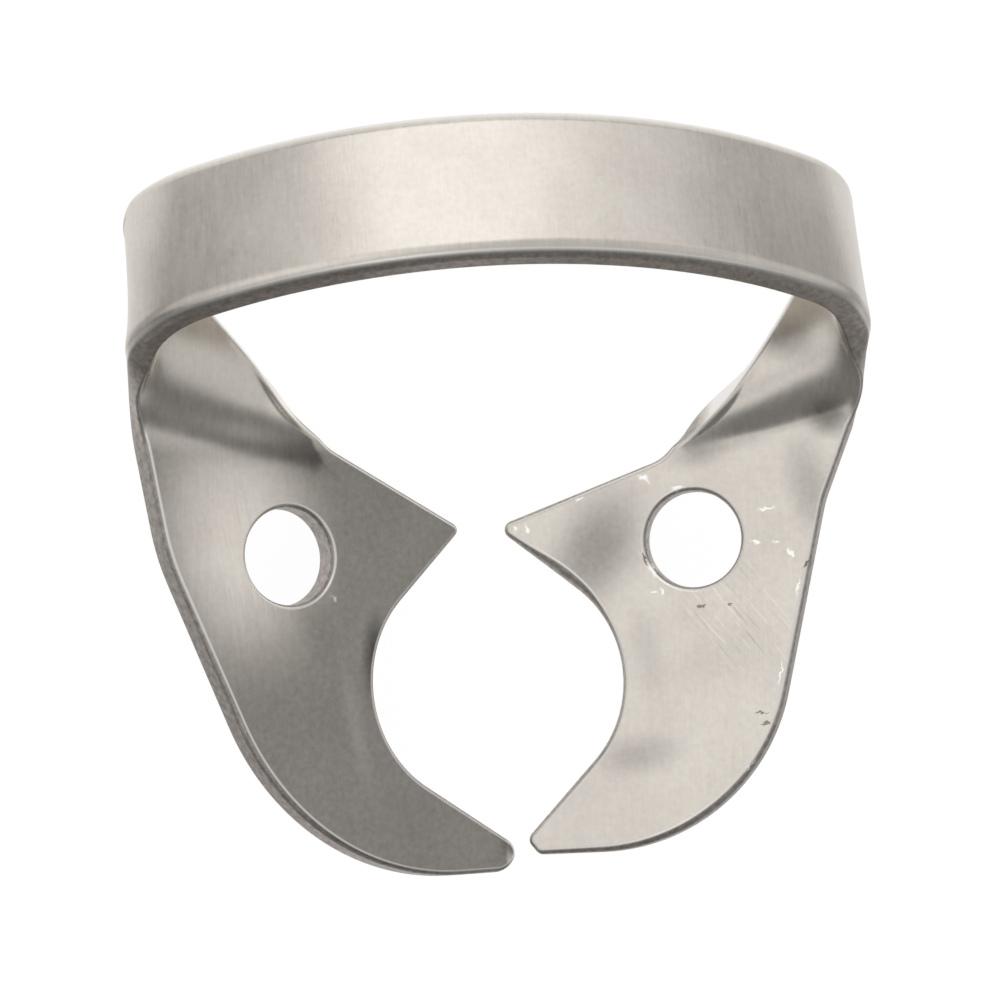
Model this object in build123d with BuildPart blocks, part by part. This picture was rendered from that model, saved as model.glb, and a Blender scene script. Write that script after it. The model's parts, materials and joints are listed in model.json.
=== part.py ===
from build123d import *
from dataclasses import dataclass
from math import acos, cos, degrees, radians, sin
import os

os.makedirs("parts", exist_ok=True)

# Sheet, in millimetres and degrees
sheet_t = 1.0

# Bow: a strip bent over the jaws, its crown leaning back
bow_width = 5.1
bow_half_span = 11.7
bow_rise = 6.5
shoulder_r = 4.0
shoulder_cut = 25.0
bow_lean = 20.0
bow_back = 4.68
bow_drop = 1.69

# Jaws: flat plates that slope down to the tooth
jaw_slope = 21.0
jaw_depth = 7.4
hole_d = 3.2

# How the clamp lies on a table
rest_tilt = 29.3


@dataclass
class Jaw:
    """Outline of one jaw in its own plane: distance out from the middle, distance forward."""

    side: int
    root_in: tuple
    root_out: tuple
    corner: tuple
    corner_r: float
    upper_tip: tuple
    tip_r: float
    throat: tuple
    throat_r: float
    lower_tip: tuple
    toe: tuple
    toe_r: float
    heel: tuple
    heel_r: float
    flank: tuple
    flank_r: float
    hole: tuple
    crest: tuple
    bulge: float


left = Jaw(
    side=-1,
    root_in=(6.0, 0.09),
    root_out=(12.45, 0.5),
    corner=(5.7, 0.41),
    corner_r=2.0,
    upper_tip=(0.73, 3.09),
    tip_r=0.25,
    throat=(6.78, 9.02),
    throat_r=3.95,
    lower_tip=(-1.1, 13.85),
    toe=(-0.4, 14.57),
    toe_r=0.6,
    heel=(7.11, 14.79),
    heel_r=8.5,
    flank=(11.82, 3.99),
    flank_r=8.0,
    hole=(7.35, 3.99),
    crest=(8.95, -2.2, 1.5),
    bulge=0.15,
)
right = Jaw(
    side=1,
    root_in=(6.86, 0.76),
    root_out=(12.85, 0.4),
    corner=(6.53, 1.13),
    corner_r=1.5,
    upper_tip=(0.78, 3.09),
    tip_r=0.3,
    throat=(6.7, 7.99),
    throat_r=3.9,
    lower_tip=(1.38, 13.54),
    toe=(1.78, 14.06),
    toe_r=0.3,
    heel=(9.08, 14.09),
    heel_r=6.6,
    flank=(11.85, 2.79),
    flank_r=4.0,
    hole=(7.46, 3.85),
    crest=(9.25, -1.25, 1.2),
    bulge=0.1,
)

jaw_frame = Location((0, 0, 0), (-rest_tilt, 0, 0))
bow_frame = jaw_frame * Location((0, bow_back, -bow_drop), (-bow_lean, 0, 0))

crown_r = ((bow_half_span - shoulder_r) ** 2 + bow_rise**2 - shoulder_r**2) / (2 * (bow_rise - shoulder_r))
crown_half = degrees(acos((crown_r - bow_rise) / (crown_r - shoulder_r)))


def jaw_plane(jaw):
    """Middle plane of one jaw."""
    return Plane(jaw_frame * Location((0, 0, -jaw_depth), (0, -jaw.side * jaw_slope, 0)))


def on_jaw(jaw, point):
    """Point of a jaw's outline, in space."""
    return jaw_plane(jaw).from_local_coords(Vector(jaw.side * point[0], -point[1], 0))


def on_bow(jaw, across, up, forward):
    """Point beside the bow, in space."""
    return Plane(bow_frame).from_local_coords(Vector(jaw.side * across, -forward, up))


def foot(radius):
    """End of the bow's arch on one side: distance out and height."""
    turn = radians(shoulder_cut)
    return bow_half_span - shoulder_r + radius * cos(turn), radius * sin(turn)


with BuildPart() as bow:
    with BuildSketch(Plane(bow_frame * Location((0, bow_width / 2, 0), (90, 0, 0)))):
        inner, outer = shoulder_r - sheet_t / 2, shoulder_r + sheet_t / 2
        with BuildLine():
            for grow in (sheet_t / 2, -sheet_t / 2):
                CenterArc((0, bow_rise - crown_r), crown_r + grow, 90 - crown_half, 2 * crown_half)
            for side in (1, -1):
                centre = side * (bow_half_span - shoulder_r)
                start = shoulder_cut if side > 0 else 90 + crown_half
                for radius in (inner, outer):
                    CenterArc((centre, 0), radius, start, 90 - crown_half - shoulder_cut)
                ends = [(side * foot(radius)[0], foot(radius)[1]) for radius in (inner, outer)]
                Line(*ends)
        make_face()
    extrude(amount=bow_width)


def leg(jaw):
    """One leg: the sheet comes down from the bow's shoulder and folds into the jaw."""
    out, height = foot(shoulder_r)
    turn = radians(shoulder_cut)
    down = on_bow(jaw, sin(turn), -cos(turn), 0) - on_bow(jaw, 0, 0, 0)
    with BuildLine() as front_edge:
        start = on_bow(jaw, out, height, bow_width / 2)
        root = on_jaw(jaw, jaw.root_out)
        ahead = (on_jaw(jaw, jaw.flank) - root).normalized()
        sag = (down - ahead) * ((root - start).length / 8)
        swell = (start + root) * 0.5 + sag + Vector(jaw.side * jaw.bulge, 0, 0)
        Spline([start, swell, root], tangents=[down, ahead])
    with BuildLine() as back_edge:
        start = on_bow(jaw, out, height, -bow_width / 2)
        u, v, lift = jaw.crest
        crest = jaw_plane(jaw).from_local_coords(Vector(jaw.side * u, -v, lift))
        root = on_jaw(jaw, jaw.root_in)
        ahead = on_jaw(jaw, jaw.corner) - root
        Spline([start, crest, root], tangents=[down, ahead])
    middle = Face.make_surface_from_curves(front_edge.edge(), back_edge.edge())
    with BuildPart() as leg_sheet:
        thicken(middle, amount=sheet_t / 2, both=True)
    return leg_sheet.part


left_leg = leg(left)
right_leg = leg(right)


def jaw_plate(jaw):
    """One jaw: a flat plate with two prongs, a throat between them and the forceps hole."""
    rounds = [0, jaw.corner_r, jaw.tip_r, jaw.throat_r, jaw.tip_r, jaw.toe_r, jaw.heel_r, jaw.flank_r, 0]
    path = [jaw.root_in, jaw.corner, jaw.upper_tip, jaw.throat, jaw.lower_tip]
    path += [jaw.toe, jaw.heel, jaw.flank, jaw.root_out]
    with BuildPart() as plate:
        with BuildSketch(jaw_plane(jaw)) as outline:
            with BuildLine():
                Polyline([(jaw.side * out, -forward) for out, forward in path], close=True)
            make_face()
            for (out, forward), radius in zip(path, rounds):
                if radius:
                    corner = outline.vertices().sort_by_distance((jaw.side * out, -forward))[0]
                    fillet(corner, radius)
            with Locations((jaw.side * jaw.hole[0], -jaw.hole[1])):
                Circle(hole_d / 2, mode=Mode.SUBTRACT)
        extrude(amount=sheet_t / 2, both=True)
    return plate.part


left_plate = jaw_plate(left)
right_plate = jaw_plate(right)

with BuildPart() as formed:
    add(bow.part)
    add(left_leg)
    add(right_leg)
    add(left_plate)
    add(right_plate)

box = formed.part.bounding_box()

with BuildPart() as clamp:
    with Locations((-box.center().X, -box.center().Y, -box.min.Z)):
        add(formed.part)

clamp.part.label = "clamp_body"
export_step(clamp.part, "parts/clamp_body.step")
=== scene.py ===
"""Dresses a rubber dam clamp: one bent sheet of satin spring steel with rolled arrises."""

import json
import logging
from dataclasses import dataclass, field
from typing import Any, Optional, Sequence, Union

import bpy
import numpy as np
from mathutils import Matrix
from mathutils.geometry import delaunay_2d_cdt


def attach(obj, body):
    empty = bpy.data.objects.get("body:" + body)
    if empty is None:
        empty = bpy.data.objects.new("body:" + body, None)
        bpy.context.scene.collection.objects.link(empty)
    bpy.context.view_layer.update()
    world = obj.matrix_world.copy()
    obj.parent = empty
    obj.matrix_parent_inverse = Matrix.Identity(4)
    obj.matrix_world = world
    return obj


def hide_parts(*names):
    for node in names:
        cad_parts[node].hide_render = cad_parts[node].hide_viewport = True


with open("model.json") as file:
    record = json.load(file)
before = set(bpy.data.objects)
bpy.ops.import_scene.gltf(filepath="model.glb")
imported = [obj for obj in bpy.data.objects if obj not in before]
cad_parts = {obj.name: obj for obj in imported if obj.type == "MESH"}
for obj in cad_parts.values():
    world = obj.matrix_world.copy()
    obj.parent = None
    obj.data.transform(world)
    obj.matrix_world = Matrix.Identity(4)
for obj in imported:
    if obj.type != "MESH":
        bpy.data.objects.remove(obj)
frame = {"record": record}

Array = np.ndarray
Pair = tuple[float, float]
Triple = tuple[float, float, float]
Colour = tuple[float, float, float, float]

MM = 0.001
WALL = "wall"
log = logging.getLogger("clamp")


def unit(vectors: Array) -> Array:
    """Vectors divided by their own lengths."""
    return vectors / np.linalg.norm(vectors, axis=-1, keepdims=True)


def lean_back(angle_deg: float) -> Array:
    """Matrix of a turn about x that tips the top of a thing backwards.

    Args:
        angle_deg: How far it tips.

    Returns:
        A 3 by 3 matrix, y' = y cos a + z sin a, z' = z cos a - y sin a.
    """
    a = np.radians(angle_deg)
    return np.array([[1, 0, 0], [0, np.cos(a), np.sin(a)], [0, -np.sin(a), np.cos(a)]])


def rounded_path(corners: Array, radii: Sequence[float], step: float) -> tuple[Array, Array]:
    """Straight runs joined by tangent arcs.

    The arc of radius r at a corner that turns by a starts r tan(a / 2) before the corner, and
    turns the first run's direction through a about a centre r to that run's side.

    Args:
        corners: Corner points in the plane, n by 2.
        radii: Arc radius at each corner; the first and last are not used.
        step: Longest distance between neighbouring points.

    Returns:
        Points and unit tangents along the path, ends included.
    """
    points, tangents = [], []
    here = corners[0]
    for before, at, after, radius in zip(corners[:-2], corners[1:-1], corners[2:], radii[1:-1]):
        first, second = unit(at - before), unit(after - at)
        turn = np.arctan2(first[0] * second[1] - first[1] * second[0], first @ second)
        reach = radius * np.tan(abs(turn) / 2)
        start = at - first * reach
        count = max(2, int(np.linalg.norm(start - here) / step) + 1)
        share = np.linspace(0, 1, count, endpoint=False)[:, None]
        points.append(here + share * (start - here))
        tangents.append(np.tile(first, (count, 1)))
        count = max(7, int(abs(turn) * radius / step) + 1)
        angle = np.linspace(0, turn, count, endpoint=False)[:, None]
        inward = np.sign(turn) * np.array([-first[1], first[0]])
        turned = np.cos(angle) * first + np.sin(angle) * np.array([-first[1], first[0]])
        spoke = np.sign(turn) * np.column_stack([turned[:, 1], -turned[:, 0]])
        points.append(start + radius * (inward + spoke))
        tangents.append(turned)
        here = at + second * reach
    last = unit(corners[-1] - corners[-2])
    count = max(2, int(np.linalg.norm(corners[-1] - here) / step) + 2)
    points.append(here + np.linspace(0, 1, count)[:, None] * (corners[-1] - here))
    tangents.append(np.tile(last, (count, 1)))
    return np.concatenate(points), np.concatenate(tangents)


def spring_line(points: Array, first: Array, last: Array, share: Array) -> Array:
    """Smooth cubic curve through three points with given end directions.

    Two cubic pieces meet at the middle point with equal first and second derivatives; the
    parameter grows with the chords, and each end direction is as long as the slope there of
    the parabola through the three points.

    Args:
        points: The three points, 3 by 3.
        first: Direction at the first point.
        last: Direction at the last point.
        share: Places along the curve from 0 to 1.

    Returns:
        Points on the curve, one for each place.
    """
    a, b, c = points
    h, k = np.linalg.norm(b - a), np.linalg.norm(c - b)
    slope_a = -(2 * h + k) / (h * (h + k)) * a + (h + k) / (h * k) * b - h / (k * (h + k)) * c
    slope_c = k / (h * (h + k)) * a - (h + k) / (h * k) * b + (h + 2 * k) / (k * (h + k)) * c
    m_a = first * np.abs(slope_a).sum() / np.abs(first).sum()
    m_c = last * np.abs(slope_c).sum() / np.abs(last).sum()
    m_b = (3 * ((b - a) / h**2 + (c - b) / k**2) - m_a / h - m_c / k) / (2 / h + 2 / k)
    place = share[:, None] * (h + k)

    def piece(p: Array, q: Array, m_p: Array, m_q: Array, span: float, x: Array) -> Array:
        """Cubic piece with end points p and q and end slopes m_p and m_q."""
        x2, x3 = x * x, x * x * x
        ends = (2 * x3 - 3 * x2 + 1) * p + (3 * x2 - 2 * x3) * q
        return ends + span * ((x3 - 2 * x2 + x) * m_p + (x3 - x2) * m_q)

    near = piece(a, b, m_a, m_b, h, place / h)
    far = piece(b, c, m_b, m_c, k, (place - h) / k)
    return np.where(place < h, near, far)


def inside(points: Array, loop: Array) -> Array:
    """Which points lie in a closed loop: a ray to the right crosses it an odd number of times.

    Args:
        points: Points in the plane, n by 2.
        loop: Corners of the loop, m by 2.

    Returns:
        True for each point that is inside.
    """
    nxt = np.roll(loop, -1, axis=0)
    x, y = points[:, :1], points[:, 1:]
    spans = (loop[:, 1] > y) != (nxt[:, 1] > y)
    rise = np.where(nxt[:, 1] == loop[:, 1], 1e-12, nxt[:, 1] - loop[:, 1])
    cut = loop[:, 0] + (y - loop[:, 1]) * (nxt[:, 0] - loop[:, 0]) / rise
    return (spans & (x < cut)).sum(axis=1) % 2 == 1


@dataclass
class SheetMesh:
    """Points, shading normals and faces of the sheet, gathered piece by piece."""

    points: list[Array] = field(default_factory=list)
    normals: list[Array] = field(default_factory=list)
    walls: list[Array] = field(default_factory=list)
    faces: list[Array] = field(default_factory=list)
    count: int = 0

    def add(self, points: Array, normals: Array, wall: Any = 0.0) -> Array:
        """Adds points with their normals.

        Args:
            points: Places, any shape ending in 3.
            normals: Unit normals of the same shape.
            wall: How far the sheet has turned into its edge there, 0 on a face and 1 on the wall; middle
                levels get a painted highlight.

        Returns:
            The new points' numbers, in the same shape without the 3.
        """
        total = points[..., 0].size
        self.points.append(points.reshape(-1, 3))
        self.normals.append(normals.reshape(-1, 3))
        self.walls.append(np.broadcast_to(wall, points.shape[:-1]).ravel())
        numbers = np.arange(self.count, self.count + total).reshape(points.shape[:-1])
        self.count += total
        return numbers

    def weave(self, grid: Array, closed: bool = False) -> None:
        """Adds two triangles for each cell of a grid of point numbers.

        Args:
            grid: Point numbers, rows by columns.
            closed: True where the last column meets the first.
        """
        if closed:
            grid = np.column_stack([grid, grid[:, 0]])
        a, b = grid[:-1, :-1].ravel(), grid[:-1, 1:].ravel()
        c, d = grid[1:, 1:].ravel(), grid[1:, :-1].ravel()
        self.faces.append(np.column_stack([a, b, c]))
        self.faces.append(np.column_stack([a, c, d]))

    def build(self, name: str) -> bpy.types.Object:
        """Makes the object, with every face turned to the side its normals point to.

        Args:
            name: Name of the object.

        Returns:
            The new object, in metres, at the origin.
        """
        points, normals = np.concatenate(self.points), np.concatenate(self.normals)
        faces = np.concatenate(self.faces)
        a, b, c = (points[faces[:, k]] for k in range(3))
        facing = (np.cross(b - a, c - a) * normals[faces].sum(axis=1)).sum(axis=1)
        faces = np.where(facing[:, None] < 0, faces[:, ::-1], faces)
        mesh = bpy.data.meshes.new(name)
        mesh.from_pydata((points * MM).tolist(), [], faces.tolist())
        mesh.shade_smooth()
        mesh.normals_split_custom_set_from_vertices(normals.tolist())
        layer = mesh.attributes.new(WALL, "FLOAT", "POINT")
        layer.data.foreach_set("value", np.concatenate(self.walls).astype(np.float32))
        piece = bpy.data.objects.new(name, mesh)
        bpy.context.scene.collection.objects.link(piece)
        return piece


@dataclass(frozen=True)
class Arrises:
    """Radii of the two rolled corners of an edge."""

    upper: float
    lower: float


@dataclass(frozen=True)
class SheetEdge:
    """Section of the sheet at its edge: a wall between two rolled arrises."""

    thickness: float = 1.0
    steps: int = 7

    def turned(self) -> tuple[Array, Array]:
        """How the normal turns over the section, from the upper face by the wall to the lower.

        Returns:
            The normal's part out of the sheet and its part upwards.
        """
        angle = np.linspace(0, np.pi / 2, self.steps)
        s, c = np.sin(angle), np.cos(angle)
        return np.concatenate([s, c]), np.concatenate([c, -s])

    def sweep(
        self, edge: Array, outward: Array, normal: Array, upper: Array, lower: Array
    ) -> tuple[Array, Array]:
        """Carries the section along an edge.

        With the normal (o, u) and an arris of radius r, a point lies r (o - 1) out from the edge
        and, on the upper side, r (u - 1) above the upper face; below it is the mirror image.

        Args:
            edge: Points of the edge on the sheet's middle, n by 3.
            outward: Unit directions out of the sheet, n by 3.
            normal: Unit normals of the upper face, n by 3.
            upper: Radius of the upper arris at each point.
            lower: Radius of the lower arris at each point.

        Returns:
            Points and normals, n by section by 3.
        """
        n_out, n_up = self.turned()
        face = np.repeat([1.0, -1.0], self.steps)
        radius = np.where(face > 0, upper[:, None], lower[:, None])
        out = radius * (n_out - 1)
        height = face * self.thickness / 2 + radius * (n_up - face)
        o, n = outward[:, None, :], normal[:, None, :]
        points = edge[:, None, :] + out[..., None] * o + height[..., None] * n
        return points, n_out[:, None] * o + n_up[:, None] * n


@dataclass(frozen=True)
class Roll:
    """A stretch of a jaw's outline where the upper arris is rolled wider."""

    at: Pair
    reach: float
    extra: float


@dataclass(frozen=True)
class JawOutline:
    """One jaw in its own plane: distance out from the middle, distance forward."""

    side: int
    root_in: Pair
    root_out: Pair
    corner: Pair
    corner_r: float
    upper_tip: Pair
    tip_r: float
    throat: Pair
    throat_r: float
    lower_tip: Pair
    toe: Pair
    toe_r: float
    heel: Pair
    heel_r: float
    flank: Pair
    flank_r: float
    hole: Pair
    crest: Triple
    bulge: float
    fold_shift: float
    fold_level: float
    fold_ebb: float
    nose_r: float
    rolls: tuple[Roll, ...]
    hole_d: float = 3.2
    slope_deg: float = 21.0
    depth: float = 7.4

    def flat(self, place: Pair) -> Array:
        """A place of the outline as x out and y back."""
        return np.array([place[0], -place[1]])

    def path(self, step: float) -> tuple[Array, Array]:
        """Outline from the outer root round the prongs to the inner root.

        Args:
            step: Longest distance between points.

        Returns:
            Points and unit directions out of the jaw, in its plane.
        """
        lower = [self.root_out, self.flank, self.heel, self.toe, self.lower_tip]
        upper = [self.throat, self.upper_tip, self.corner, self.root_in]
        corners = np.array([self.flat(place) for place in lower + upper])
        radii = [0, self.flank_r, self.heel_r, self.toe_r, self.nose_r]
        radii += [self.throat_r, self.tip_r, self.corner_r, 0]
        points, tangents = rounded_path(corners, radii, step)
        return points, np.column_stack([-tangents[:, 1], tangents[:, 0]])

    def rolled(self, points: Array, radius: float) -> Array:
        """Radius of the upper arris: r + sum of e exp(-(d / reach)^2) over the wider rolls.

        Args:
            points: Points of the outline.
            radius: The plain radius r.

        Returns:
            The radius at each point.
        """
        radii = np.full(len(points), radius)
        for roll in self.rolls:
            gap = np.linalg.norm(points - self.flat(roll.at), axis=1)
            radii += roll.extra * np.exp(-((gap / roll.reach) ** 2))
        return radii

    def ring(self, count: int) -> tuple[Array, Array]:
        """The forceps hole: points of a circle and directions towards its middle.

        Args:
            count: Number of points.

        Returns:
            Points and unit directions, in the jaw's plane.
        """
        angle = np.linspace(0, 2 * np.pi, count, endpoint=False)
        spoke = np.column_stack([np.cos(angle), np.sin(angle)])
        return self.flat(self.hole) + self.hole_d / 2 * spoke, -spoke

    def across(self) -> Array:
        """Direction out from the middle, rising with the jaw's slope."""
        a = np.radians(self.slope_deg)
        return np.array([self.side * np.cos(a), 0, np.sin(a)])

    def normal(self) -> Array:
        """Normal of the jaw's upper face."""
        a = np.radians(self.slope_deg)
        return np.array([-self.side * np.sin(a), 0, np.cos(a)])

    def direction(self, flat: Array) -> Array:
        """Directions in the jaw's plane carried into space."""
        return flat[..., :1] * self.across() + flat[..., 1:] * np.array([0.0, 1.0, 0.0])

    def place(self, flat: Array) -> Array:
        """Points in the jaw's plane carried into space."""
        return self.direction(flat) - np.array([0, 0, self.depth])


@dataclass(frozen=True)
class Bow:
    """The bow: a strip bent over the jaws, its crown leaning back."""

    width: float = 5.1
    half_span: float = 11.7
    rise: float = 6.5
    shoulder_r: float = 4.0
    shoulder_deg: float = 25.0
    lean_deg: float = 20.0
    back: float = 4.68
    drop: float = 1.69

    def place(self, across: Array, up: Array, forward: Array) -> Array:
        """Points beside the bow carried into the jaws' frame.

        Args:
            across: Distance to the right.
            up: Height over the bow's foot.
            forward: Distance forward from the bow's middle.

        Returns:
            Points, n by 3.
        """
        local = np.column_stack(np.broadcast_arrays(across, -np.asarray(forward), up))
        return local @ lean_back(self.lean_deg).T + np.array([0, self.back, -self.drop])

    def foot(self, side: int) -> tuple[Array, Array]:
        """End of the bow on one side, where a leg begins.

        Args:
            side: 1 on the right, -1 on the left.

        Returns:
            Front and back point of the end, and the direction in which the leg goes on.
        """
        a = np.radians(self.shoulder_deg)
        across = side * (self.half_span - self.shoulder_r * (1 - np.cos(a)))
        half = self.width / 2
        ends = self.place(across, self.shoulder_r * np.sin(a), np.array([half, -half]))
        return ends, lean_back(self.lean_deg) @ np.array([side * np.sin(a), 0, -np.cos(a)])

    def arch(self, shoulder: int, crown: int) -> tuple[Array, Array]:
        """Middle line of the bow from left to right: shoulder arc, crown arc, shoulder arc.

        The crown's circle touches both shoulder circles from outside and reaches the rise.

        Args:
            shoulder: Points on each shoulder.
            crown: Points on the crown.

        Returns:
            Distance across and height.
        """
        reach = self.half_span - self.shoulder_r
        crown_r = (reach**2 + self.rise**2 - self.shoulder_r**2) / (2 * (self.rise - self.shoulder_r))
        half = np.arccos((crown_r - self.rise) / (crown_r - self.shoulder_r))
        first = np.pi - np.radians(self.shoulder_deg)
        side = np.linspace(first, np.pi / 2 + half, shoulder, endpoint=False)
        top = np.linspace(np.pi / 2 + half, np.pi / 2 - half, crown)
        x_side, z_side = self.shoulder_r * np.cos(side) - reach, self.shoulder_r * np.sin(side)
        x_top, z_top = crown_r * np.cos(top), self.rise + crown_r * (np.sin(top) - 1)
        across = np.concatenate([x_side, x_top, -x_side[::-1]])
        return across, np.concatenate([z_side, z_top, z_side[::-1]])


LEFT_JAW = JawOutline(
    side=-1,
    root_in=(6.0, 0.09),
    root_out=(12.45, 0.5),
    corner=(5.7, 0.41),
    corner_r=2.0,
    upper_tip=(0.73, 3.09),
    tip_r=0.25,
    throat=(6.78, 9.02),
    throat_r=3.95,
    lower_tip=(-1.1, 13.85),
    toe=(-0.4, 14.57),
    toe_r=0.9,
    heel=(7.11, 14.79),
    heel_r=8.5,
    flank=(11.82, 3.99),
    flank_r=8.0,
    hole=(7.35, 3.99),
    crest=(8.95, -2.2, 1.5),
    bulge=0.15,
    fold_shift=22.0,
    fold_level=0.05,
    fold_ebb=0.2,
    nose_r=0.5,
    rolls=(Roll((9.5, 11.5), 5.0, 0.05),),
)
RIGHT_JAW = JawOutline(
    side=1,
    root_in=(6.86, 0.76),
    root_out=(12.85, 0.4),
    corner=(6.53, 1.13),
    corner_r=1.5,
    upper_tip=(0.78, 3.09),
    tip_r=0.3,
    throat=(6.7, 7.99),
    throat_r=3.9,
    lower_tip=(1.38, 13.54),
    toe=(1.78, 14.06),
    toe_r=0.3,
    heel=(9.08, 14.09),
    heel_r=6.6,
    flank=(11.85, 2.79),
    flank_r=4.0,
    hole=(7.46, 3.85),
    crest=(9.25, -1.25, 1.2),
    bulge=0.1,
    fold_shift=18.0,
    fold_level=0.4,
    fold_ebb=0.45,
    nose_r=0.3,
    rolls=(Roll((3.0, 4.8), 1.6, 0.25), Roll((7.0, 13.6), 4.0, 0.1)),
)


@dataclass(frozen=True)
class TablePose:
    """How the jaws' level frame lies on the table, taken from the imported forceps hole."""

    tilt_deg: float = 29.3
    mount: str = "forceps_hole_right"

    def shift(self) -> Array:
        """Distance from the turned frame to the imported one, in millimetres."""
        mounts = {m["name"]: m for m in frame["record"]["mounts"]}
        packed = np.array(mounts[self.mount]["pos_m"]) / MM
        return packed - lean_back(self.tilt_deg) @ RIGHT_JAW.place(RIGHT_JAW.flat(RIGHT_JAW.hole))

    def turn(self, vectors: Array) -> Array:
        """Directions of the jaws' frame turned to lie on the table."""
        return vectors @ lean_back(self.tilt_deg).T

    def lay(self, points: Array) -> Array:
        """Points of the jaws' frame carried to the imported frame, in millimetres."""
        return self.turn(points) + self.shift()


@dataclass
class ClampBody:
    """The clamp: a strip that is bow and legs, and a flat jaw at each end of it."""

    bow: Bow = Bow()
    left: JawOutline = LEFT_JAW
    right: JawOutline = RIGHT_JAW
    edge: SheetEdge = SheetEdge()
    jaw_arrises: Arrises = Arrises(0.2, 0.16)
    front_arrises: Arrises = Arrises(0.1, 0.5)
    back_arrises: Arrises = Arrises(0.2, 0.5)
    pose: TablePose = TablePose()
    outline_step: float = 0.22
    leg_points: int = 70
    shoulder_points: int = 24
    crown_points: int = 90
    columns: int = 22
    ring_points: int = 96
    fill_step: float = 0.53
    fill_gap: float = 0.6
    bend: complex = 0.004 + 0.002j
    late_from: float = 0.54
    late_run: float = 0.45
    late_most: float = 0.9
    back_level: float = 0.4
    back_fade: int = 6
    roll_level: float = 6.0
    leg_taper: float = -0.6
    root_stations: int = 8
    fold_fade: int = 40
    fold_soft: int = 7
    fold_end: float = 6.0

    def leg_edges(self, jaw: JawOutline) -> tuple[Array, Array]:
        """Front and back edge of one leg, from the bow to the jaw.

        Args:
            jaw: The jaw that the leg carries.

        Returns:
            Points of both edges, in the turned frame.
        """
        share = np.linspace(0, 1, self.leg_points)
        foot, down = self.bow.foot(jaw.side)
        foot, down = self.pose.turn(foot), self.pose.turn(down)
        flat_roots = np.array([jaw.flat(jaw.root_out), jaw.flat(jaw.root_in)])
        flat_next = np.array([jaw.flat(jaw.flank), jaw.flat(jaw.corner)])
        roots = self.pose.turn(jaw.place(flat_roots))
        ahead = self.pose.turn(unit(jaw.direction(flat_next - flat_roots)))
        chord = np.linalg.norm(roots[0] - foot[0])
        swell = (foot[0] + roots[0]) / 2 + (down - ahead[0]) * chord / 8
        swell = swell + np.array([jaw.side * jaw.bulge, 0, 0])
        crest = self.pose.turn(jaw.place(jaw.flat(jaw.crest[:2])) + jaw.crest[2] * jaw.normal())
        front = spring_line(np.array([foot[0], swell, roots[0]]), down, ahead[0], share)
        back = spring_line(np.array([foot[1], crest, roots[1]]), down, ahead[1], share)
        return front, back

    def strip(self, mesh: SheetMesh) -> Array:
        """Bow and legs: rulings between a front and a back edge, with the sheet's section.

        The middle surface is front + t (back - front); its normal is the ruling crossed with
        the run of the strip, which is the inner side of the bow and the upper side of the jaws.

        Args:
            mesh: Takes the points and faces.

        Returns:
            Point numbers, stations by section.
        """
        front, back = self.edges()
        front_radii, back_radii = self.taper(self.front_arrises), self.taper(self.back_arrises)
        half = self.edge.thickness / 2
        middle, normal = self.rulings(front, back, front_radii[0], back_radii[0])
        upper = (middle + half * normal, self.eased(normal))
        middle, normal = self.rulings(front, back, front_radii[1], back_radii[1])
        lower = (middle - half * normal, -normal)
        sheer = np.zeros(len(front))
        middle, normal = self.rulings(front, back, sheer, sheer)
        out_front = self.outward(middle[:, 0], normal[:, 0], front - back, 0)
        out_back = self.outward(middle[:, -1], normal[:, -1], back - front, -1)
        rim_front = self.edge.sweep(front, out_front, normal[:, 0], *front_radii)
        rim_back = self.edge.sweep(back, out_back, normal[:, -1], *back_radii)
        faces = zip(rim_front, lower, rim_back, upper)
        points, normals = (
            np.concatenate([f, low[:, 1:-1], b[:, ::-1], up[:, -2:0:-1]], axis=1)
            for f, low, b, up in faces
        )
        numbers = mesh.add(points + self.pose.shift(), normals, self.wall_levels(len(front)))
        mesh.weave(numbers, closed=True)
        return numbers

    def edges(self) -> tuple[Array, Array]:
        """Front and back edge of the whole strip, from the left jaw over the bow to the right.

        Returns:
            Points of both edges, in the turned frame.
        """
        across, up = self.bow.arch(self.shoulder_points, self.crown_points)
        half = self.bow.width / 2
        left, right = self.leg_edges(self.left), self.leg_edges(self.right)
        bow = [self.pose.turn(self.bow.place(across, up, ahead)) for ahead in (half, -half)]
        front, back = (np.concatenate([a[:0:-1], b, c[1:]]) for a, b, c in zip(left, bow, right))
        return front, back

    def outward(self, edge: Array, normal: Array, towards: Array, end: int) -> Array:
        """Directions out of the sheet along one edge of the strip, as the jaws' at its ends.

        Args:
            edge: Points of the edge.
            normal: The sheet's normals there.
            towards: Vectors that point roughly outwards.
            end: Which end of a jaw's outline meets the edge, 0 or -1.

        Returns:
            Unit directions, n by 3.
        """
        out = unit(np.cross(unit(np.gradient(edge, axis=0)), normal))
        out = out * np.sign((out * towards).sum(axis=1, keepdims=True))
        for station, jaw in ((0, self.left), (-1, self.right)):
            _, aside = jaw.path(self.outline_step)
            out[station] = self.pose.turn(jaw.direction(aside[end]))
        return out

    def wall_levels(self, stations: int) -> Array:
        """Colour level over the strip's section: 0 on a face, middling for a painted highlight, 1 on the
        wall.

        On the bow the front edge's outer roll turns dark late, and the back edge only reaches the
        painted highlight.

        Args:
            stations: Number of stations.

        Returns:
            Levels, stations by section.
        """
        turned, face = self.edge.turned()[0], np.zeros((stations, self.columns))
        outer = np.arange(len(turned)) >= self.edge.steps
        late = np.clip((turned - self.late_from) / self.late_run, 0, self.late_most)
        late = np.where(outer, late, turned)
        share = self.jaw_share()[:, None]
        front = late + share * (turned - late)
        back = turned[::-1] * (self.back_level + (1 - self.back_level) * share**self.back_fade)
        return np.concatenate([front, face, back, face], axis=1)

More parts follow.
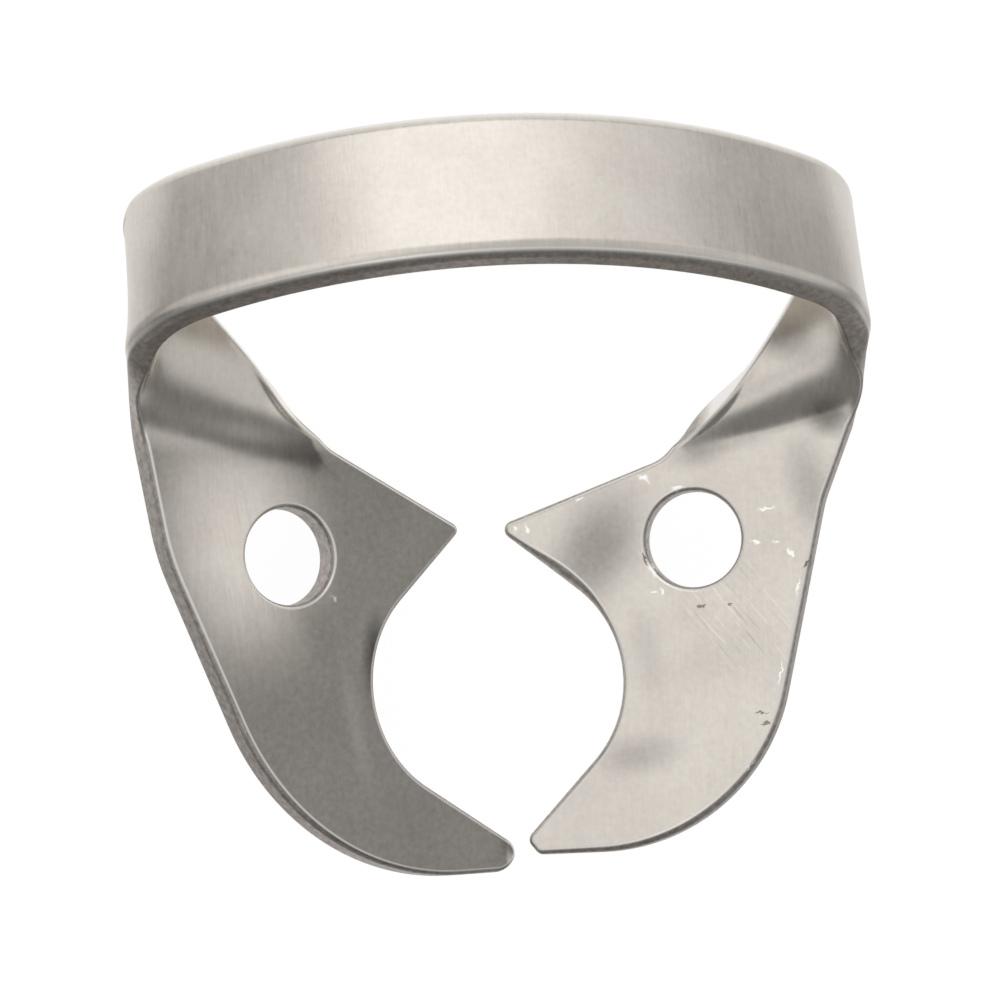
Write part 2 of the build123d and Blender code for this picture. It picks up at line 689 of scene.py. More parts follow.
    def rulings(self, front: Array, back: Array, first: Array, last: Array) -> tuple[Array, Array]:
        """Middle surface of the strip between two insets from its edges.

        Along a ruling that meets an edge at a slant, the inset grows by 1 / sin(slant).

        Args:
            front: Points of the front edge.
            back: Points of the back edge.
            first: Inset from the front edge at each station.
            last: Inset from the back edge at each station.

        Returns:
            Points and unit normals, stations by columns by 3, both insets included.
        """
        width, stations = np.linalg.norm(back - front, axis=1), np.arange(len(front))
        clear = np.clip(np.minimum(stations, stations[::-1]) / self.root_stations, 0, 1)
        insets = []
        for edge, inset in ((front, first), (back, last)):
            slant = np.cross(unit(back - front), unit(np.gradient(edge, axis=0)))
            slant = np.linalg.norm(slant, axis=1)
            insets.append((inset / width * (1 + clear * (1 / slant - 1)))[:, None, None])
        low, high = insets[0], 1 - insets[1]
        share = low + (high - low) * np.linspace(0, 1, self.columns + 2)[None, :, None]
        ruling = (back - front)[:, None, :]
        middle = front[:, None, :] + share * ruling
        run = np.gradient(middle, axis=0)
        normal = unit(np.cross(np.broadcast_to(ruling, run.shape), run))
        for station, jaw in ((0, self.left), (-1, self.right)):
            normal[station] = self.pose.turn(jaw.normal())
        return middle, normal

    def fold(self, jaw: JawOutline, station: Array, inward: Array) -> Array:
        """Upper normals round the fold of a leg into its jaw, which sits lower at the inner edge.

        The normal at station s and share t of the ruling is the leg's own at s + shift (t - level),
        a mean over some stations on both sides. The shift fades out up the leg, and the fold ebbs
        towards the inner edge. A negative station is on the jaw.

        Args:
            jaw: The jaw.
            station: Stations up the leg from the root.
            inward: Share of the ruling, 0 at the outer edge and 1 at the inner.

        Returns:
            Unit normals in the turned frame.
        """
        front, back = (edge[::-1] for edge in self.leg_edges(jaw))
        share = np.linspace(0, 1, self.columns)[None, :, None]
        middle = front[:, None] + share * (back - front)[:, None]
        ruling = np.broadcast_to((back - front)[:, None], middle.shape)
        own = unit(np.cross(ruling, np.gradient(middle, axis=0)))
        plain, soft = self.pose.turn(jaw.normal()), self.fold_soft
        own = own * np.sign(own[1, 0] @ plain)
        before = np.broadcast_to(plain, (2 * soft, self.columns, 3))
        padded = np.concatenate([before, own, np.repeat(own[-1:], soft, axis=0)])
        weights = soft + 1 - np.abs(np.arange(2 * soft + 1) - soft)
        length = len(own) + soft
        own = sum(weight * padded[i : i + length] for i, weight in enumerate(weights))
        fade = np.clip(1 - station / self.fold_fade, 0, 1)
        shift = jaw.fold_shift * (inward - jaw.fold_level)
        row = np.clip(station + soft + shift * fade, 0, length - 1.001)
        column = np.clip(inward, 0, 1) * (self.columns - 1.001)
        low, left = row.astype(int), column.astype(int)
        down, along = (row - low)[:, None], (column - left)[:, None]
        first = own[low, left] + along * (own[low, left + 1] - own[low, left])
        second = own[low + 1, left] + along * (own[low + 1, left + 1] - own[low + 1, left])
        normal = unit(first + down * (second - first))
        ebb = (jaw.fold_ebb * fade * np.clip(2 * inward - 1, 0, 1))[:, None]
        return unit(normal + ebb * (plain - normal))

    def jaw_fold(self, jaw: JawOutline, flat: Array) -> Array:
        """Upper normals of a jaw's face: its own, and the fold's near the root.

        Args:
            jaw: The jaw.
            flat: Points in the jaw's plane.

        Returns:
            Unit normals in the turned frame.
        """
        outer, inner = jaw.flat(jaw.root_out), jaw.flat(jaw.root_in)
        front, _ = self.leg_edges(jaw)
        spacing = np.linalg.norm(np.diff(front, axis=0), axis=1).mean()
        inward = (flat - outer) @ (inner - outer) / ((inner - outer) @ (inner - outer))
        ahead = outer[1] + inward * (inner[1] - outer[1]) - flat[:, 1]
        beyond = np.clip(inward - 1, 0, 1) * self.fold_end * jaw.fold_shift
        return self.fold(jaw, -np.maximum(ahead, 0) / spacing - beyond, np.clip(inward, 0, 1))

    def eased(self, normal: Array) -> Array:
        """Upper normals of the strip with each fold set lower towards the inner edge.

        Args:
            normal: Normals, stations by columns by 3.

        Returns:
            The eased normals.
        """
        normal = normal.copy()
        inward = np.linspace(0, 1, normal.shape[1])
        for step in range(self.fold_fade):
            station = np.full(len(inward), float(step))
            normal[step] = self.fold(self.left, station, inward)
            normal[-1 - step] = self.fold(self.right, station, inward)
        return normal

    def jaw_share(self) -> Array:
        """How much of the jaws' edge is left at each station: 1 at the jaws, 0 on the bow.

        Returns:
            A smooth step 3 x^2 - 2 x^3 over the lower part of each leg.
        """
        leg = np.clip(np.linspace(1, self.leg_taper, self.leg_points)[:-1], 0, 1)
        bow = np.zeros(2 * self.shoulder_points + self.crown_points)
        share = np.concatenate([leg, bow, leg[::-1]])
        return share * share * (3 - 2 * share)

    def taper(self, bow: Arrises) -> tuple[Array, Array]:
        """Arris radii along the strip, from the jaws' over each leg to the bow's.

        Args:
            bow: The radii on the bow.

        Returns:
            Upper and lower radius at each station.
        """
        share, jaw = self.jaw_share(), self.jaw_arrises
        upper, lower = jaw.upper - bow.upper, jaw.lower - bow.lower
        return bow.upper + share * upper, bow.lower + share * lower

    def jaw(self, mesh: SheetMesh, jaw: JawOutline, section: Array) -> None:
        """One jaw: the sheet's section carried round its outline and its hole, and two flat faces.

        Args:
            mesh: Takes the points and faces.
            jaw: The jaw's outline.
            section: Point numbers of the strip's section where the jaw begins.
        """
        rim, cols = 2 * self.edge.steps, self.columns
        front, lower_root, back, upper_root = np.split(section, np.cumsum([rim, cols, rim]))
        radii = self.jaw_arrises
        edge, aside = jaw.path(self.outline_step)
        edge_upper = jaw.rolled(edge, radii.upper)
        ring, inward = jaw.ring(self.ring_points)
        ring_upper = np.full(len(ring), radii.upper)
        outline = self.jaw_rim(mesh, jaw, edge[1:-1], aside[1:-1], edge_upper[1:-1])
        outline = np.concatenate([front[None], outline, back[None, ::-1]])
        mesh.weave(outline)
        hole = self.jaw_rim(mesh, jaw, ring, inward, ring_upper)
        mesh.weave(np.concatenate([hole, hole[:1]]))
        normal = self.pose.turn(jaw.normal())
        share = np.linspace(0, 1, cols + 2)[1:-1, None]
        run = jaw.flat(jaw.root_out) - jaw.flat(jaw.root_in)
        faces = (
            (edge_upper[:, None], radii.upper, 0, upper_root, 1.0),
            (radii.lower, radii.lower, -1, lower_root[::-1], -1.0),
        )
        for inset, ring_inset, row, root_row, sign in faces:
            first = ring_inset / np.linalg.norm(run)
            root_line = jaw.flat(jaw.root_in) + (first + (1 - 2 * first) * share) * run
            loop = np.concatenate([edge - inset * aside, root_line])
            hole_loop = ring - ring_inset * inward
            known = np.concatenate([outline[:, row], root_row, hole[:, row]])
            fill = self.fill(loop, hole_loop)
            height = sign * self.edge.thickness / 2 * normal
            shades = self.jaw_fold(jaw, fill) if sign > 0 else np.broadcast_to(-normal, (len(fill), 3))
            added = mesh.add(self.pose.lay(jaw.place(fill)) + height, shades)
            mesh.faces.append(self.tile(loop, hole_loop, fill, np.concatenate([known, added])))

    def jaw_rim(self, mesh: SheetMesh, jaw: JawOutline, flat: Array, out: Array, upper: Array) -> Array:
        """The sheet's section along a jaw's outline or its hole; a wider roll is coloured more like the
        wall.

        Args:
            mesh: Takes the points.
            jaw: The jaw.
            flat: Points of the edge in the jaw's plane.
            out: Directions out of the sheet in that plane.
            upper: Radius of the upper arris at each point.

        Returns:
            Point numbers, points by section.
        """
        radii = self.jaw_arrises
        middle, outward = self.pose.lay(jaw.place(flat)), self.pose.turn(jaw.direction(out))
        normals = np.broadcast_to(self.pose.turn(jaw.normal()), middle.shape)
        lower = np.full(len(flat), radii.lower)
        points, shades = self.edge.sweep(middle, outward, normals, upper, lower)
        wider = 1 + self.roll_level * (upper - radii.upper)[:, None]
        return mesh.add(points, shades, np.clip(self.edge.turned()[0] * wider, 0, 1))

    def fill(self, loop: Array, hole: Array) -> Array:
        """Points of a square grid that lie on a jaw, clear of its edges.

        Args:
            loop: The face's outer loop.
            hole: The face's loop round the hole.

        Returns:
            Points in the jaw's plane.
        """
        low, high = loop.min(axis=0), loop.max(axis=0)
        axes = [np.arange(a, b, self.fill_step) for a, b in zip(low, high)]
        grid = np.stack(np.meshgrid(*axes), axis=-1).reshape(-1, 2)
        grid = grid[inside(grid, loop) & ~inside(grid, hole)]
        rims = np.concatenate([loop, hole])
        gap = np.linalg.norm(grid[:, None] - rims[None], axis=2).min(axis=1)
        return grid[gap > self.fill_step * self.fill_gap]

    def tile(self, loop: Array, hole: Array, fill: Array, numbers: Array) -> Array:
        """Triangles of one flat face, bounded by its loops.

        The points are joined in a plane that is slightly bent, z + bend z^2, so that no three
        neighbours of a straight edge lie in line.

        Args:
            loop: The outer loop.
            hole: The loop round the hole.
            fill: Points inside the face.
            numbers: Point numbers of loop, hole and fill, in that order.

        Returns:
            Triangles as point numbers.
        """
        plain = np.concatenate([loop, hole, fill]) @ np.array([1, 1j])
        bent = plain + self.bend * plain**2
        points = np.column_stack([bent.real, bent.imag])
        loop, hole = points[: len(loop)], points[len(loop) : len(loop) + len(hole)]
        first = np.arange(len(loop))
        second = len(loop) + np.arange(len(hole))
        bounds = [np.column_stack([ids, np.roll(ids, -1)]) for ids in (first, second)]
        made = delaunay_2d_cdt(points.tolist(), np.concatenate(bounds).tolist(), [], 0, 1e-6)
        origin = np.array([ids[0] for ids in made[3]])
        faces = origin[np.array(made[2])]
        centres = points[faces].mean(axis=1)
        return numbers[faces[inside(centres, loop) & ~inside(centres, hole)]]

    def build(self) -> bpy.types.Object:
        """Makes the clamp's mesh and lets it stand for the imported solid.

        Returns:
            The clamp's object.
        """
        mesh = SheetMesh()
        strip = self.strip(mesh)
        self.jaw(mesh, self.left, strip[0])
        self.jaw(mesh, self.right, strip[-1])
        piece = mesh.build("clamp_sheet")
        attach(piece, "root")
        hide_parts("clamp_body")
        return piece


class Value:
    """A shader socket that takes part in Python arithmetic, each step adding a Math node."""

    def __init__(self, graph: "Graph", socket: Any) -> None:
        """Keeps the graph and the socket."""
        self.graph = graph
        self.socket = socket

    def maths(self, operation: str, *values: Any) -> "Value":
        """Adds one Math node and returns its result."""
        return self.graph.node("ShaderNodeMath", {"operation": operation}, dict(enumerate(values)))

    def __add__(self, other: Any) -> "Value":
        """Sum."""
        return self.maths("ADD", self, other)

    def __radd__(self, other: Any) -> "Value":
        """Sum with a number first."""
        return self.maths("ADD", other, self)

    def __sub__(self, other: Any) -> "Value":
        """Difference."""
        return self.maths("SUBTRACT", self, other)

    def __rsub__(self, other: Any) -> "Value":
        """Difference from a number."""
        return self.maths("SUBTRACT", other, self)

    def __mul__(self, other: Any) -> "Value":
        """Product."""
        return self.maths("MULTIPLY", self, other)

    def __rmul__(self, other: Any) -> "Value":
        """Product with a number first."""
        return self.maths("MULTIPLY", other, self)


class Graph:
    """Adds nodes to one node tree."""

    def __init__(self, tree: bpy.types.NodeTree) -> None:
        """Empties the tree."""
        self.tree = tree
        tree.nodes.clear()

    def node(
        self,
        kind: str,
        settings: Optional[dict[str, Any]] = None,
        sockets: Optional[dict[Any, Any]] = None,
        output: Union[int, str] = 0,
    ) -> Value:
        """Adds a node, with its settings first and then its sockets.

        Args:
            kind: Blender's name for the node type.
            settings: Properties by name.
            sockets: Values or links by socket name or number.
            output: Which output to hand on.

        Returns:
            The chosen output.
        """
        node = self.tree.nodes.new(kind)
        for name, setting in (settings or {}).items():
            setattr(node, name, setting)
        for name, value in (sockets or {}).items():
            if isinstance(value, Value):
                self.tree.links.new(value.socket, node.inputs[name])
            else:
                node.inputs[name].default_value = value
        return Value(self, node.outputs[output] if node.outputs else None)

    def vector(self, operation: str, *values: Any, output: Union[int, str] = 0) -> Value:
        """Adds one Vector Math node and returns its result."""
        sockets = dict(enumerate(values))
        return self.node("ShaderNodeVectorMath", {"operation": operation}, sockets, output)

    def dot(self, first: Any, second: Any) -> Value:
        """Dot product of two vectors."""
        return self.vector("DOT_PRODUCT", first, second, output="Value")

    def ease(self, value: Any, low: Any, high: Any) -> Value:
        """Smooth step from 0 at low to 1 at high."""
        sockets = {"Value": value, "From Min": low, "From Max": high}
        return self.node("ShaderNodeMapRange", {"interpolation_type": "SMOOTHSTEP"}, sockets)

    def scaled(self, vector: Any, share: Any) -> Value:
        """A vector or colour times a number."""
        return self.node("ShaderNodeVectorMath", {"operation": "SCALE"}, {0: vector, "Scale": share})

    def join(self, x: Any, y: Any, z: Any) -> Value:
        """Vector of three numbers."""
        return self.node("ShaderNodeCombineXYZ", {}, {0: x, 1: y, 2: z})

    def total(self, values: Sequence[Value]) -> Value:
        """Sum of some values."""
        return sum(values[1:], values[0])

    def noise(self, vector: Any, scale: float, detail: float = 2.0, rough: float = 0.5) -> Value:
        """Noise from 0 to 1 round 0.5."""
        sockets = {"Vector": vector, "Scale": scale, "Detail": detail, "Roughness": rough}
        return self.node("ShaderNodeTexNoise", {}, sockets, "Fac")

    def mix(self, share: Any, first: Any, second: Any) -> Value:
        """Colour between two colours."""
        settings = {"data_type": "RGBA"}
        return self.node("ShaderNodeMix", settings, {"Factor": share, 6: first, 7: second}, 2)


@dataclass(frozen=True)
class Mark:
    """One spot on a jaw: an ellipse in the jaw's plane, with its half sizes and its strength."""

    at: Pair
    long: float
    wide: float
    turn_deg: float
    level: float = 1.0


@dataclass(frozen=True)
class JawShadeAndWear:
    """Painted light and shade on one jaw, and the wear that use has left on it."""

    jaw: JawOutline
    painted_jaw_shade: float
    shades: tuple[Mark, ...]
    nick_glints: tuple[Mark, ...]
    pits: tuple[Mark, ...]
    scratched: Mark


LEFT_SHADE_AND_WEAR = JawShadeAndWear(
    LEFT_JAW,
    # Painted shade over the whole left jaw, stopping short of its leg.
    painted_jaw_shade=-0.56,
    # Painted light and shade marks: a positive level paints light, a negative one paints shade.
    shades=(
        Mark((9.2, 3.5), 5.6, 4.1, 97, 0.84),
        Mark((7.7, -0.8), 1.0, 0.6, 160, 0.3),
        Mark((5.14, 9.57), 3.01, 0.49, 101, 0.1),
        Mark((4.35, 7.3), 1.9, 0.6, 85, -0.28),
        Mark((6.71, 6.10), 1.78, 1.04, 117, -0.1),
    ),
    # Real nicks, painted white as glints.
    nick_glints=(Mark((5.77, 5.38), 0.28, 0.09, 122, 0.5),),
    pits=(
        Mark((0.02, 14.19), 0.29, 0.13, -164),
        Mark((4.62, 2.48), 0.16, 0.04, 163),
        Mark((4.46, 2.70), 0.19, 0.04, 95),
    ),
    scratched=Mark((9.3, 4.2), 4.0, 2.0, 100, 0.5),
)
RIGHT_SHADE_AND_WEAR = JawShadeAndWear(
    RIGHT_JAW,
    painted_jaw_shade=0.0,
    # Painted light and shade marks: a positive level paints light, a negative one paints shade.
    shades=(
        Mark((4.2, 4.0), 3.2, 2.0, 123, -0.48),
        Mark((11.2, -2.43), 1.5, 1.0, 0, -0.4),
        Mark((11.4, 2.2), 2.3, 1.1, 80, -0.3),
        Mark((12.2, 0.1), 1.1, 0.9, 0, -0.6),
        Mark((7.7, 1.0), 1.5, 0.7, -8, -0.25),
        Mark((5.4, 10.9), 2.1, 0.95, -8, -0.26),
        Mark((5.77, 7.46), 2.22, 0.87, 82, -0.14),
        Mark((8.54, 7.60), 2.39, 1.33, -15, -0.06),
    ),
    # Real nicks, painted white as glints.
    nick_glints=(
        Mark((5.92, 1.74), 0.34, 0.17, 40),
        Mark((7.01, 2.17), 0.29, 0.12, -8),
        Mark((9.96, 2.99), 0.42, 0.08, 0),
        Mark((9.59, 4.08), 0.24, 0.12, 19),
        Mark((10.24, 4.08), 0.13, 0.07, 3),
        Mark((10.71, 4.50), 0.25, 0.12, 53),
        Mark((6.03, 4.80), 0.38, 0.13, 64),
        Mark((6.08, 5.56), 0.15, 0.08, -11),
        Mark((6.36, 5.56), 0.23, 0.08, 72),
        Mark((1.44, 3.18), 0.19, 0.08, 54),
        Mark((1.87, 3.18), 0.24, 0.08, 60),
        Mark((3.69, 2.33), 0.17, 0.07, -6),
        Mark((10.92, 5.66), 0.47, 0.05, 100),
        Mark((10.20, 8.43), 0.64, 0.05, 103),
        Mark((8.97, 11.49), 0.47, 0.06, 136),
    ),
    pits=(
        Mark((7.68, 6.10), 0.20, 0.07, -13),
        Mark((8.62, 6.12), 0.15, 0.06, -19),
        Mark((9.47, 9.73), 0.28, 0.04, -5),
        Mark((9.59, 10.09), 0.20, 0.03, -3),
        Mark((11.22, 4.88), 0.20, 0.06, -32),
        Mark((5.95, 3.89), 0.32, 0.07, 93),
        Mark((5.84, 4.47), 0.28, 0.06, 70),
    ),
    scratched=Mark((9.0, 6.5), 3.0, 2.1, 52),
)


@dataclass(frozen=True)
class SatinSteel:
    """Satin stainless sheet: brushed, worn, darker on its walls, with painted light, shade and
    highlights.
    """

    name: str = "satin_steel"
    pale: Colour = (0.70, 0.66, 0.60, 1.0)
    dull: Colour = (0.62, 0.575, 0.525, 1.0)
    dark_wall: Colour = (0.44, 0.40, 0.37, 1.0)
    bright: Colour = (1.0, 0.98, 0.95, 1.0)
    dark: Colour = (0.28, 0.25, 0.22, 1.0)
    roughness: float = 0.3
    shade_and_wear: tuple[JawShadeAndWear, ...] = (LEFT_SHADE_AND_WEAR, RIGHT_SHADE_AND_WEAR)
    grain_scale: float = 5.0
    grain_depth: float = 0.2
    cloud_scale: float = 0.35
    brush_scale: Triple = (9.0, 0.6, 3.0)
    brush_depth: float = 0.02
    brush_strength: float = 0.12
    wave_scale: float = 0.22
    wave_depth: float = 0.1
    ragged_scale: float = 4.0
    ragged_depth: float = 0.4
    scratch_scale: Triple = (0.5, 9.0, 0.0)
    scratch_depth: float = 0.24
    scratch_core: float = 0.3
    shade_core: float = 0.1
    nick_glint_core: float = 0.05
    pit_core: float = 0.6
    # How strongly the painted arris highlight is mixed in.
    arris_highlight_share: float = 0.6
    burr_depth: float = 2.4

    def spot(self, graph: Graph, plane: Value, mark: Mark, core: float) -> Value:
        """Strength of one mark: full inside the core's share of the ellipse, gone at its rim.

        Args:
            graph: Takes the nodes.
            plane: Place in the jaw's plane.
            mark: The mark.
            core: Share of the ellipse that has the full strength.

        Returns:
            The mark's level where it is full, 0 outside it.
        """
        sockets = {
            "Vector": plane,
            "Location": (*mark.at, 0.0),
            "Rotation": (0.0, 0.0, np.radians(mark.turn_deg)),
            "Scale": (mark.long, mark.wide, 1.0),
        }
        local = graph.node("ShaderNodeMapping", {"vector_type": "TEXTURE"}, sockets)
        return graph.ease(graph.vector("LENGTH", local, output="Value"), 1.0, core) * mark.level

    def scratches(self, graph: Graph, plane: Value, mark: Mark) -> Value:
        """Fine lines along one mark's length, from -1 for dark ones to 1 for light ones.

        Args:
            graph: Takes the nodes.
            plane: Place in the jaw's plane.
            mark: Where the lines lie and which way they run.

        Returns:
            The lines' strength.
        """
        turn = {"Vector": plane, "Rotation": (0.0, 0.0, np.radians(mark.turn_deg))}
        along = graph.node("ShaderNodeMapping", {"vector_type": "TEXTURE"}, turn)
        lines = graph.noise(graph.vector("MULTIPLY", along, self.scratch_scale), 1.0)
        light, dark = graph.ease(lines, 0.55, 0.75), graph.ease(lines, 0.45, 0.25)
        return (light - dark) * self.spot(graph, plane, mark, self.scratch_core)

    def shaded_and_worn(
        self, graph: Graph, pose: TablePose, place: Value, ragged: Value, shade_and_wear: JawShadeAndWear
    ) -> tuple[Value, ...]:
        """Masks of one jaw's painted light and shade and of its wear.

        Args:
            graph: Takes the nodes.
            pose: How the jaws' frame lies on the table.
            place: Place on the clamp, in millimetres.
            ragged: Offset that frays the rims of nicks and pits.
            shade_and_wear: Painted light and shade on the jaw, and its wear.

        Returns:
            Painted light and shade with the scratches, nick glints and pits, each 0 on the other jaw's
            side.
        """
        jaw = shade_and_wear.jaw
        start = pose.lay(jaw.place(np.zeros(2)))
        axes = (pose.turn(jaw.across()), pose.turn(np.array([0.0, -1.0, 0.0])))
        out, ahead = (graph.dot(place, tuple(axis)) - float(start @ axis) for axis in axes)
        plane = graph.join(out, ahead, 0.0)
        frayed = graph.vector("ADD", plane, ragged)
        # First a painted shade over the whole jaw, then marks that paint light (positive) or shade
        # (negative), then real scratches.
        shades = [graph.ease(ahead, -0.3, 0.8) * shade_and_wear.painted_jaw_shade]
        shades += [self.spot(graph, plane, mark, self.shade_core) for mark in shade_and_wear.shades]
        shades.append(self.scratches(graph, plane, shade_and_wear.scratched) * self.scratch_depth)
        nick_glints = [self.spot(graph, frayed, mark, self.nick_glint_core) for mark in shade_and_wear.nick_glints]
        pits = [self.spot(graph, frayed, mark, self.pit_core) for mark in shade_and_wear.pits]
        side = graph.ease(graph.dot(place, (float(jaw.side), 0.0, 0.0)), -0.6, -0.4)
        return tuple(graph.total(marks) * side for marks in (shades, nick_glints, pits))

    def build(self, pose: TablePose) -> bpy.types.Material:
        """Makes the material.

        Args:
            pose: How the jaws' frame lies on the table.

        Returns:
            The new material.
        """
        material = bpy.data.materials.new(self.name)
        material.use_nodes = True
        graph = Graph(material.node_tree)
        place = graph.scaled(graph.node("ShaderNodeTexCoord", {}, {}, "Object"), 1 / MM)
        axes = pose.turn(np.eye(3))
        level = graph.join(*(graph.dot(place, tuple(axis)) for axis in axes))
        wall = graph.node("ShaderNodeAttribute", {"attribute_name": WALL}, {}, "Fac")
        grain = graph.noise(place, self.grain_scale, 2.0, 0.6)
        cloud = graph.noise(place, self.cloud_scale, 3.0, 0.55)
        brushed = graph.noise(graph.vector("MULTIPLY", level, self.brush_scale), 1.0, 3.0, 0.6)
        noise = {"Vector": place, "Scale": self.ragged_scale}
        ragged = graph.node("ShaderNodeTexNoise", {}, noise, "Color")
        ragged = graph.scaled(graph.vector("SUBTRACT", ragged, (0.5, 0.5, 0.5)), self.ragged_depth)
        shaded_and_worn = [self.shaded_and_worn(graph, pose, place, ragged, shade_and_wear) for shade_and_wear in self.shade_and_wear]
        shades, nick_glints, pits = (graph.total(masks) for masks in zip(*shaded_and_worn))
        tone = graph.mix(graph.ease(cloud * 0.6 + brushed * 0.4, 0.35, 0.65), self.dull, self.pale)
        # The painted light and shade, the scratches and the grain scale the tone.
        tone = graph.scaled(tone, 1.0 + (grain - 0.5) * self.grain_depth + shades)
        # Painted highlight on the arrises, where the section is partway turned into the wall.
        arris_highlight = graph.ease(wall, 0.1, 0.3) * graph.ease(wall, 0.62, 0.5)
        tone = graph.mix(arris_highlight * self.arris_highlight_share, tone, self.bright)
        # The walls are coloured darker, with a darker band where the arris turns into them.
        dark_wall = graph.ease(wall, 0.55, 0.85)
        burr = dark_wall * (1 - dark_wall) * self.burr_depth
        wall_colour = graph.scaled(graph.mix(burr, self.dark_wall, self.dark), 0.4 + grain * 1.2)
        tone = graph.mix(dark_wall, tone, wall_colour)
        tone = graph.mix(graph.ease(pits, 0.0, 1.0), tone, self.dark)
        # Real nicks, painted white as glints.
        tone = graph.mix(graph.ease(nick_glints, 0.0, 1.0), tone, self.bright)
        rough = self.roughness + (brushed - 0.5) * 0.16 + (cloud - 0.5) * 0.1 + dark_wall * 0.18
        waves = graph.noise(level, self.wave_scale, 1.0, 0.4)
        broad = {"Strength": 1.0, "Distance": self.wave_depth * MM, "Height": waves}
        bump = graph.node("ShaderNodeBump", {}, broad)
        fine = {"Distance": self.brush_depth * MM, "Height": brushed, "Normal": bump}
        bump = graph.node("ShaderNodeBump", {}, {"Strength": self.brush_strength, **fine})
        shader = graph.node(
            "ShaderNodeBsdfPrincipled",
            {},
            {"Base Color": tone, "Roughness": rough, "Metallic": 1.0, "Normal": bump},
        )
        graph.node("ShaderNodeOutputMaterial", {}, {"Surface": shader})
        return material


@dataclass(frozen=True)
class WhiteTable:
    """White table top that keeps a faint shadow."""

    name: str = "white_table"
    half_width: float = 1.5
    paper: Colour = (0.9, 0.9, 0.9, 1.0)
    table: Colour = (0.6, 0.6, 0.6, 1.0)
    glow: float = 0.88
    gloss: float = 0.85
    near: float = 0.013
    far: float = 0.023
    squash: Triple = (1.0, 0.35, 0.0)
    dim: float = 0.1
    white: float = 1.08

    def build(self) -> bpy.types.Object:
        """Makes the floor: mostly plain white to the camera; the steel mirrors it dimmer far out.

        Returns:
            The floor's object.
        """
        h = self.half_width
        mesh = bpy.data.meshes.new(self.name)
        mesh.from_pydata([(-h, -h, 0), (h, -h, 0), (h, h, 0), (-h, h, 0)], [], [(0, 1, 2, 3)])
        material = bpy.data.materials.new(self.name)
        material.use_nodes = True
        graph = Graph(material.node_tree)
        plain = graph.node("ShaderNodeEmission", {}, {"Strength": self.white})
        seen = graph.node("ShaderNodeLightPath", {}, {}, "Is Camera Ray")
        mirrored = graph.node("ShaderNodeLightPath", {}, {}, "Is Glossy Ray")
        reach = graph.node("ShaderNodeTexCoord", {}, {}, "Object")
        reach = graph.vector("MULTIPLY", reach, self.squash)
        reach = graph.vector("LENGTH", reach, output="Value")
        lit = self.dim + graph.ease(reach, self.far, self.near) * (1 - self.dim)
        share = seen * self.glow + mirrored * lit * self.gloss
        paper = graph.mix(mirrored * (1 - lit), self.paper, self.table)
        matt = graph.node("ShaderNodeBsdfDiffuse", {}, {"Color": paper})
        shader = graph.node("ShaderNodeMixShader", {}, {0: share, 1: matt, 2: plain})
        graph.node("ShaderNodeOutputMaterial", {}, {"Surface": shader})
        mesh.materials.append(material)
        floor = bpy.data.objects.new(self.name, mesh)
        bpy.context.scene.collection.objects.link(floor)
        return floor


@dataclass(frozen=True)
class SoftLight:
    """One soft patch of the studio: where it is, how wide and how bright."""

    towards: Triple
    inner_deg: float
    outer_deg: float
    strength: float


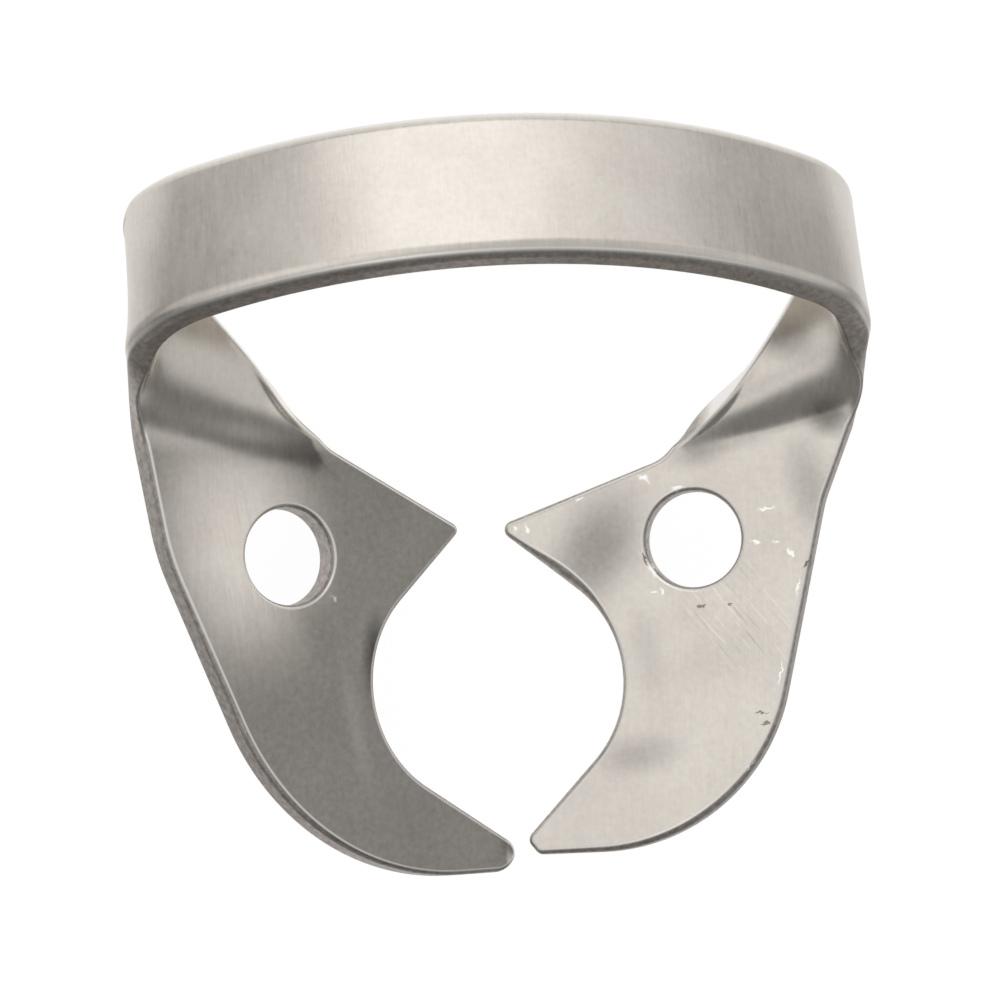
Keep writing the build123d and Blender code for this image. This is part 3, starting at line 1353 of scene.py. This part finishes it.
@dataclass(frozen=True)
class Studio:
    """Room round the table: white to the camera; dim in front, lit overhead and behind for the steel."""

    front: float = 0.25
    overhead: float = 0.62
    dusk: Pair = (-0.4, -0.1)
    patches: tuple[SoftLight, ...] = (
        SoftLight((-0.50, 0.49, 0.71), 8.0, 30.0, 0.5),
        SoftLight((-0.06, 0.96, 0.23), 8.0, 30.0, 1.05),
        SoftLight((0.56, 0.82, 0.10), 4.0, 22.0, 0.45),
        SoftLight((-0.42, 0.89, 0.17), 4.0, 18.0, 0.2),
        SoftLight((0.76, 0.39, 0.52), 5.0, 20.0, 0.1),
        SoftLight((0.52, -0.80, 0.28), 4.0, 14.0, 0.6),
        SoftLight((-0.23, -0.10, 0.97), 4.0, 14.0, 0.6),
    )

    def build(self) -> None:
        """Makes the world's light."""
        world = bpy.data.worlds.new("studio")
        world.use_nodes = True
        graph = Graph(world.node_tree)
        towards = graph.node("ShaderNodeTexCoord", {}, {}, "Generated")
        behind = graph.dot(towards, (0.0, 1.0, 0.0))
        level = self.front + graph.ease(behind, *self.dusk) * self.overhead
        for patch in self.patches:
            axis = tuple(unit(np.array(patch.towards)))
            near, far = np.cos(np.radians([patch.inner_deg, patch.outer_deg]))
            level = level + graph.ease(graph.dot(towards, axis), far, near) * patch.strength
        seen = graph.node("ShaderNodeLightPath", {}, {}, "Is Camera Ray")
        level = level * (1 - seen) + seen
        light = graph.node("ShaderNodeBackground", {}, {"Strength": level})
        graph.node("ShaderNodeOutputWorld", {}, {"Surface": light})
        bpy.context.scene.world = world


@dataclass(frozen=True)
class PhotoCamera:
    """Camera over the clamp, a little to its left: angles in the jaws' level frame."""

    aim: Triple = (-0.38, -2.68, 0.0)
    distance: float = 179.7
    yaw_deg: float = 9.88
    pitch_deg: float = 4.15
    roll_deg: float = -2.49
    lens: float = 200.88
    sensor: float = 36.0

    def build(self, pose: TablePose) -> bpy.types.Object:
        """Makes the camera and hands it to the scene.

        Args:
            pose: How the jaws' frame lies on the table.

        Returns:
            The camera's object.
        """
        yaw, pitch, roll = np.radians([self.yaw_deg, self.pitch_deg, self.roll_deg])
        back = np.array([-np.sin(yaw) * np.cos(pitch), -np.sin(pitch), np.cos(yaw) * np.cos(pitch)])
        up = unit(np.array([0, 1.0, 0]) - back[1] * back)
        right = np.cross(up, back)
        right, up = np.cos(roll) * right + np.sin(roll) * up, np.cos(roll) * up - np.sin(roll) * right
        axes = pose.turn(np.array([right, up, back]))
        data = bpy.data.cameras.new("photo_camera")
        data.lens, data.sensor_width = self.lens, self.sensor
        data.clip_start, data.clip_end = 0.01, 10.0
        camera = bpy.data.objects.new("photo_camera", data)
        eye = pose.lay(np.array(self.aim) + self.distance * back) * MM
        matrix = np.eye(4)
        matrix[:3, :3], matrix[:3, 3] = axes.T, eye
        camera.matrix_world = Matrix(matrix.tolist())
        bpy.context.scene.collection.objects.link(camera)
        bpy.context.scene.camera = camera
        return camera


def main() -> None:
    """Builds the clamp, dresses it and sets it on the table."""
    logging.basicConfig(level=logging.INFO, format="%(name)s: %(message)s")
    bpy.context.scene.view_settings.view_transform = "Standard"
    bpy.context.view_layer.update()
    clamp = ClampBody()
    piece = clamp.build()
    piece.data.materials.append(SatinSteel().build(clamp.pose))
    log.info("%s has %d faces", piece.name, len(piece.data.polygons))
    WhiteTable().build()
    Studio().build()
    PhotoCamera().build(clamp.pose)


if __name__ == "__main__":
    main()
